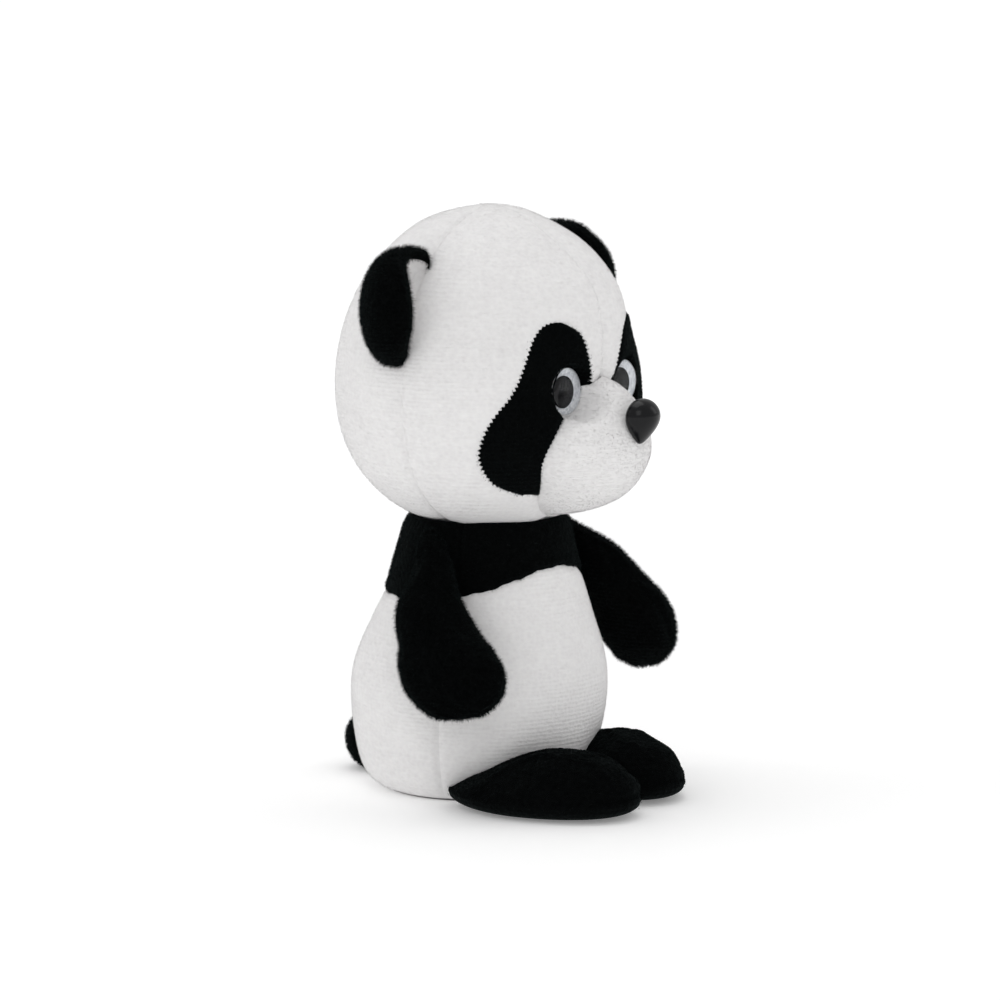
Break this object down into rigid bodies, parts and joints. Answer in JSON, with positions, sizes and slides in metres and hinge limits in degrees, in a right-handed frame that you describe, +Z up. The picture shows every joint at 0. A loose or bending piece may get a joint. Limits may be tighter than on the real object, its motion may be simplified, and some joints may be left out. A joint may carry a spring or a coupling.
{
  "type": "plush panda",
  "caption": "Standing stuffed panda with a large round head, glossy eyes and nose, black ears, yoke, arms and feet, and a weighted base.",
  "frame": {"origin": "centre of the flat base on the floor, on the body's upright middle", "axes": "+Z up through the head, -Y the way the toy faces, +X the toy's left"},
  "size_m": [0.137, 0.1328, 0.2],
  "materials": {
    "white_plush": "short velvety knitted pile",
    "black_plush": "short velvety pile with a slight sheen",
    "filling": "white polyester fibre",
    "pellets": "cotton pouch of plastic pellets",
    "thread": "strong polyester thread",
    "glitter": "silver glitter film",
    "black_plastic": "high gloss moulded",
    "clear_plastic": "clear moulded dome",
    "washer_plastic": "moulded locking washer"
  },
  "bodies": {
    "torso": {"yoke_front": "black_plush", "yoke_back": "black_plush", "belly_panel": "white_plush", "back_panel_left": "white_plush", "back_panel_right": "white_plush", "base_disc": "white_plush", "body_stuffing": "filling", "pellet_pouch": "pellets"},
    "neck": {"neck_thread": "thread"},
    "head": {"head_back_left": "white_plush", "head_back_right": "white_plush", "face_left": "white_plush", "face_right": "white_plush", "muzzle_panel": "white_plush", "eye_patch_left": "black_plush", "eye_patch_right": "black_plush", "head_stuffing": "filling", "glitter_disc_left": "glitter", "glitter_disc_right": "glitter", "pupil_left": "black_plastic", "pupil_right": "black_plastic", "eye_dome_left": "clear_plastic", "eye_dome_right": "clear_plastic", "eye_washer_left": "washer_plastic", "eye_washer_right": "washer_plastic", "nose": "black_plastic", "nose_washer": "washer_plastic"},
    "ear_left": {"ear_back_left": "black_plush", "ear_lining_left": "white_plush", "ear_stuffing_left": "filling"},
    "arm_left": {"arm_outer_left": "black_plush", "arm_inner_left": "black_plush", "arm_stuffing_left": "filling"},
    "foot_left": {"foot_top_left": "black_plush", "foot_sole_left": "black_plush", "foot_stuffing_left": "filling"},
    "ear_right": {"ear_back_right": "black_plush", "ear_lining_right": "white_plush", "ear_stuffing_right": "filling"},
    "arm_right": {"arm_outer_right": "black_plush", "arm_inner_right": "black_plush", "arm_stuffing_right": "filling"},
    "foot_right": {"foot_top_right": "black_plush", "foot_sole_right": "black_plush", "foot_stuffing_right": "filling"},
    "tail": {"tail_skin": "black_plush", "tail_stuffing": "filling"}
  },
  "joints": [
    {"name": "neck_turn", "type": "hinge", "parent": "torso", "child": "neck", "pos_m": [0, -0.0055, 0.0915], "axis": [0, 0, 1], "range_deg": [-20, 20], "stiffness_Nm_per_rad": 0.3},
    {"name": "neck_nod", "type": "hinge", "parent": "neck", "child": "head", "pos_m": [0, -0.0055, 0.0915], "axis": [1, 0, 0], "range_deg": [-5, 5], "stiffness_Nm_per_rad": 1.2},
    {"name": "shoulder_right", "type": "hinge", "parent": "torso", "child": "arm_right", "pos_m": [-0.03, -0.0045, 0.09], "axis": [-0.7237, -0.3735, 0.5803], "range_deg": [-15, 20], "stiffness_Nm_per_rad": 0.08},
    {"name": "shoulder_left", "type": "hinge", "parent": "torso", "child": "arm_left", "pos_m": [0.03, -0.0045, 0.09], "axis": [-0.7237, 0.3735, -0.5803], "range_deg": [-15, 20], "stiffness_Nm_per_rad": 0.08},
    {"name": "foot_fold_right", "type": "hinge", "parent": "torso", "child": "foot_right", "pos_m": [-0.0205, -0.031, 0.003], "axis": [-0.8018, 0.5976, 0], "range_deg": [0, 12], "stiffness_Nm_per_rad": 0.15},
    {"name": "foot_fold_left", "type": "hinge", "parent": "torso", "child": "foot_left", "pos_m": [0.0205, -0.031, 0.003], "axis": [-0.8018, -0.5976, 0], "range_deg": [0, 12], "stiffness_Nm_per_rad": 0.15},
    {"name": "ear_bend_right", "type": "hinge", "parent": "head", "child": "ear_right", "pos_m": [-0.0465, -0.005, 0.165], "axis": [0.3, 0, 0.9539], "range_deg": [-10, 10], "stiffness_Nm_per_rad": 0.05},
    {"name": "ear_bend_left", "type": "hinge", "parent": "head", "child": "ear_left", "pos_m": [0.0465, -0.005, 0.165], "axis": [0.3, 0, -0.9539], "range_deg": [-10, 10], "stiffness_Nm_per_rad": 0.05},
    {"name": "tail_wag", "type": "hinge", "parent": "torso", "child": "tail", "pos_m": [0, 0.0425, 0.0116], "axis": [1, 0, 0], "range_deg": [-10, 10], "stiffness_Nm_per_rad": 0.03}
  ]
}
